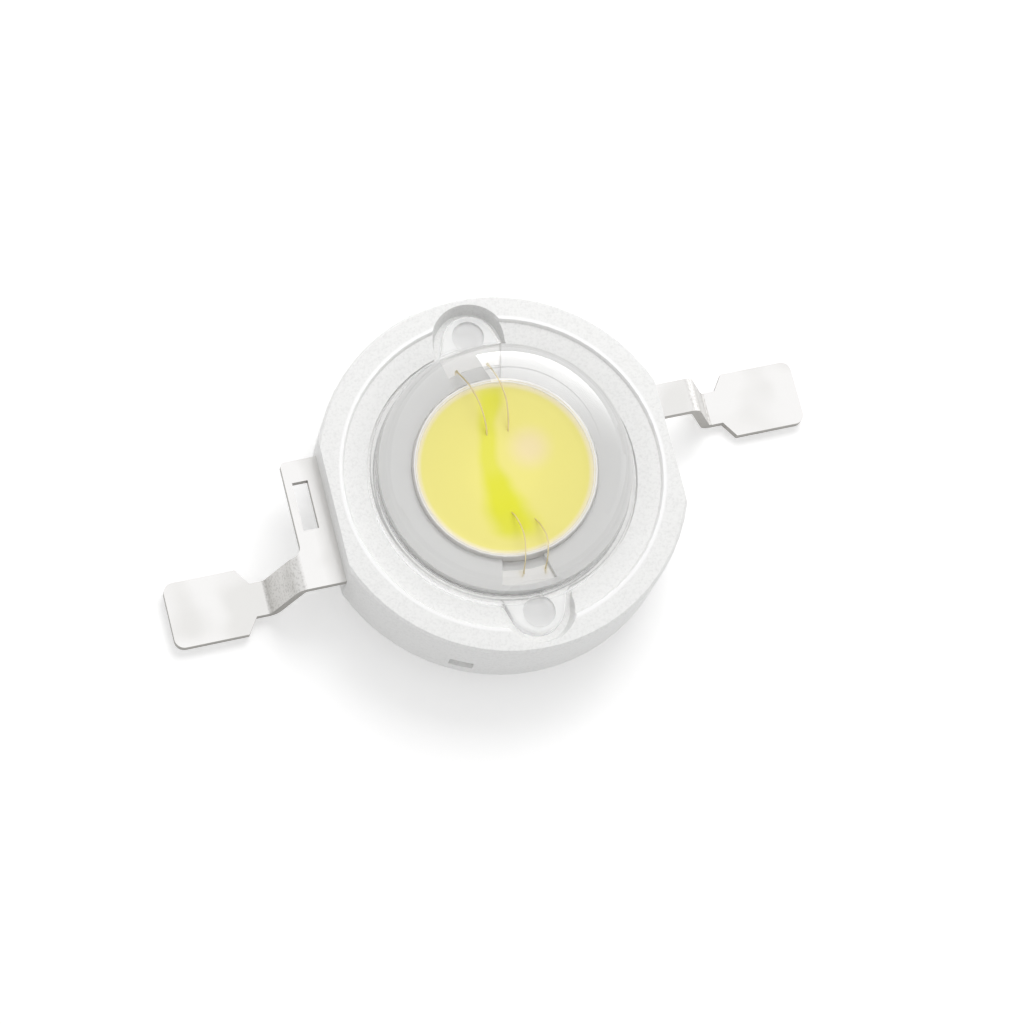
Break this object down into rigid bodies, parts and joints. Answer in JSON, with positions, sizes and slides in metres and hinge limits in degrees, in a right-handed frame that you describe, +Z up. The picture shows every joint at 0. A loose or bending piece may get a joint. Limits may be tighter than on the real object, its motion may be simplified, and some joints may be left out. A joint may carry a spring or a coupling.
{
  "type": "high power led",
  "caption": "Surface mount high power LED: clear dome lens on a round white housing with a heat slug below and two formed leads.",
  "frame": {"origin": "centre of the heat slug's underside, on the board's surface", "axes": "+Z up through the dome, +X from the marked lead to the plain lead, +Y towards the plain lead's side"},
  "size_m": [0.0148, 0.008, 0.0052],
  "materials": {
    "moulded_white": "fine matte moulded PPA",
    "clear_lens": "clear moulded polycarbonate",
    "silicone_gel": "clear soft silicone",
    "slug_silver": "silver plated copper",
    "lead_silver": "silver plated copper sheet",
    "phosphor_yellow": "phosphor in silicone, satin",
    "wire_gold": "drawn gold wire",
    "chip_blue": "polished sapphire die",
    "paste_grey": "cured silver paste"
  },
  "bodies": {
    "root": {"heat_slug": "slug_silver", "silver_paste": "paste_grey", "led_chip": "chip_blue", "phosphor_fill": "phosphor_yellow", "bond_wire_1": "wire_gold", "bond_wire_2": "wire_gold", "bond_wire_3": "wire_gold", "bond_wire_4": "wire_gold", "marked_lead": "lead_silver", "plain_lead": "lead_silver", "housing": "moulded_white", "clear_gel": "silicone_gel", "lens": "clear_lens"}
  },
  "joints": []
}
